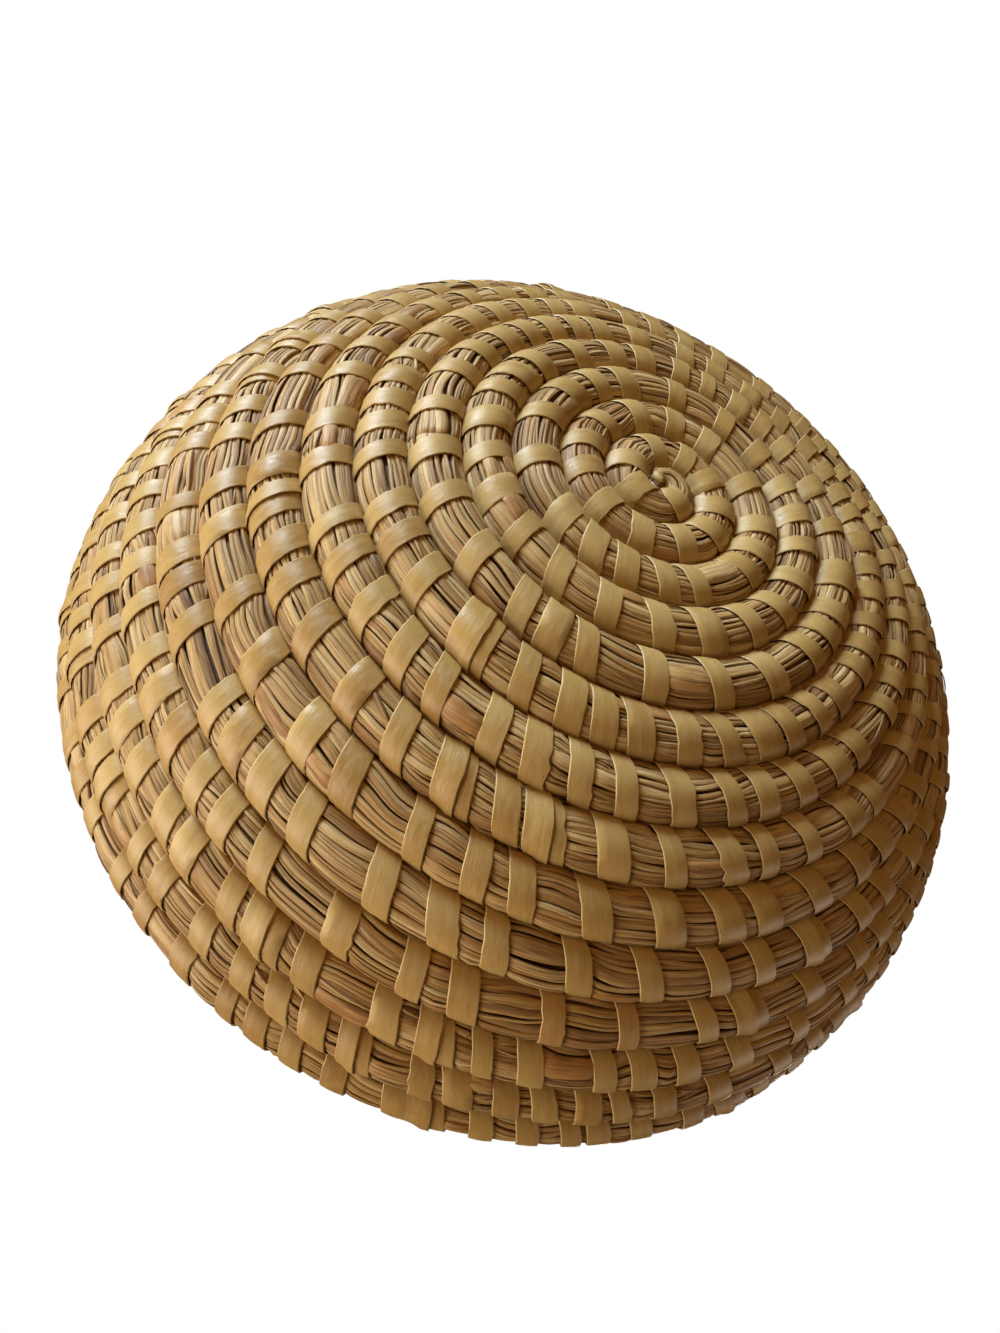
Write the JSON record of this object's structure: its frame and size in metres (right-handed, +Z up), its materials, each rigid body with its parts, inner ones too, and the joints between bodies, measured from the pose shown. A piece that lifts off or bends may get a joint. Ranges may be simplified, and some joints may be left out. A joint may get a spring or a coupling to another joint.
{
  "type": "coiled basket bowl",
  "caption": "Round bowl coiled from one long bundle of dry grass stems, each row lashed with flat strips of split leaf; flat base, bowed wall, open mouth.",
  "frame": {"origin": "middle of the base, on the surface that the bowl stands on", "axes": "+Z up out of the open mouth, along the axis that the coil winds round"},
  "size_m": [0.2457, 0.2477, 0.0792],
  "materials": {
    "grass_bundle": "dry grass stems, matt with a faint sheen along each stem",
    "leaf_strip": "split leaf, satin, fine grain along the strip"
  },
  "bodies": {
    "root": {"foundation_coil": "grass_bundle", "binding_strip_01": "leaf_strip", "binding_strip_02": "leaf_strip", "binding_strip_03": "leaf_strip", "binding_strip_04": "leaf_strip", "binding_strip_05": "leaf_strip", "binding_strip_06": "leaf_strip", "binding_strip_07": "leaf_strip", "binding_strip_08": "leaf_strip", "binding_strip_09": "leaf_strip", "binding_strip_10": "leaf_strip", "binding_strip_11": "leaf_strip", "binding_strip_12": "leaf_strip", "binding_strip_13": "leaf_strip", "binding_strip_14": "leaf_strip", "binding_strip_15": "leaf_strip", "binding_strip_16": "leaf_strip", "binding_strip_17": "leaf_strip", "binding_strip_18": "leaf_strip", "binding_strip_19": "leaf_strip", "binding_strip_20": "leaf_strip", "binding_strip_21": "leaf_strip"}
  },
  "joints": []
}
